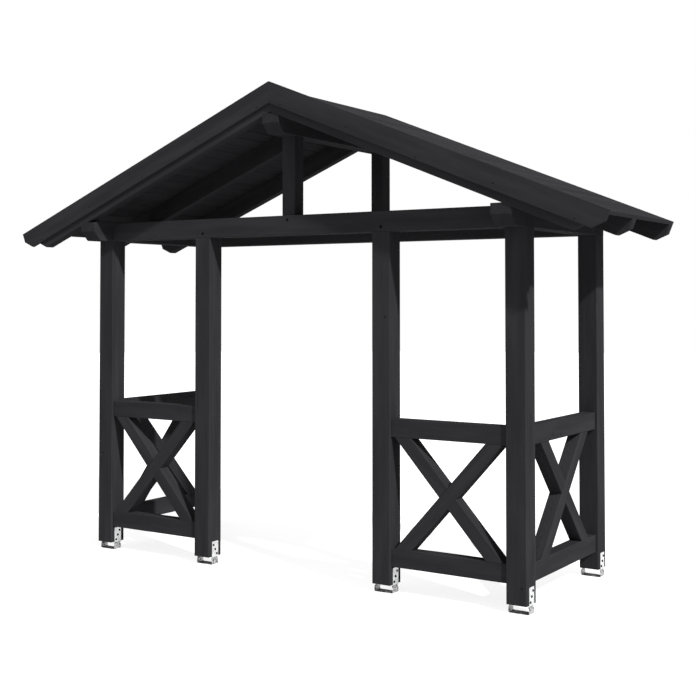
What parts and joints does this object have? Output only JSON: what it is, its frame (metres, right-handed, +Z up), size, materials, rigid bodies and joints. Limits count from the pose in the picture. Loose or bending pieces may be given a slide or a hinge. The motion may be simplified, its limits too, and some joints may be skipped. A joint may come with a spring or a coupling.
{
  "type": "roofed garden arch",
  "caption": "Dark timber garden arch with a gabled boarded roof on square posts in strap shoes, an open middle passage and low cross-braced panels at both sides.",
  "frame": {"origin": "ground level under the middle of the roof's whole width and depth", "axes": "+X to the right along the front, +Y from the gable front to the back, +Z up"},
  "size_m": [4.2584, 1.346, 2.9942],
  "materials": {
    "dark_timber": "planed softwood with a near-black opaque stain, satin",
    "barge_timber": "planed board with a near-black opaque stain, satin",
    "roof_boards": "close-boarded deck, near-black stain, matt on top",
    "galvanised_steel": "hot-dip galvanised flat bar, dull spangle"
  },
  "bodies": {
    "root": {"barge_board_left": "barge_timber", "barge_board_right": "barge_timber", "king_post_back": "dark_timber", "king_post_front": "dark_timber", "panel_end_left_bottom_rail": "dark_timber", "panel_end_left_brace_falling": "dark_timber", "panel_end_left_brace_rising": "dark_timber", "panel_end_left_top_rail": "dark_timber", "panel_end_right_bottom_rail": "dark_timber", "panel_end_right_brace_falling": "dark_timber", "panel_end_right_brace_rising": "dark_timber", "panel_end_right_top_rail": "dark_timber", "panel_front_left_bottom_rail": "dark_timber", "panel_front_left_brace_falling": "dark_timber", "panel_front_left_brace_rising": "dark_timber", "panel_front_left_top_rail": "dark_timber", "panel_front_right_bottom_rail": "dark_timber", "panel_front_right_brace_falling": "dark_timber", "panel_front_right_brace_rising": "dark_timber", "panel_front_right_top_rail": "dark_timber", "plate_left": "dark_timber", "plate_right": "dark_timber", "post_back_left": "dark_timber", "post_back_right": "dark_timber", "post_front_inner_left": "dark_timber", "post_front_inner_right": "dark_timber", "post_front_outer_left": "dark_timber", "post_front_outer_right": "dark_timber", "rafter_back_left": "dark_timber", "rafter_back_right": "dark_timber", "rafter_front_left": "dark_timber", "rafter_front_right": "dark_timber", "rafter_middle_left": "dark_timber", "rafter_middle_right": "dark_timber", "ridge_beam": "dark_timber", "roof_deck_left": "roof_boards", "roof_deck_right": "roof_boards", "shoe_back_left": "galvanised_steel", "shoe_back_right": "galvanised_steel", "shoe_front_inner_left": "galvanised_steel", "shoe_front_inner_right": "galvanised_steel", "shoe_front_outer_left": "galvanised_steel", "shoe_front_outer_right": "galvanised_steel", "tie_beam_back": "dark_timber", "tie_beam_front": "dark_timber"}
  },
  "joints": []
}
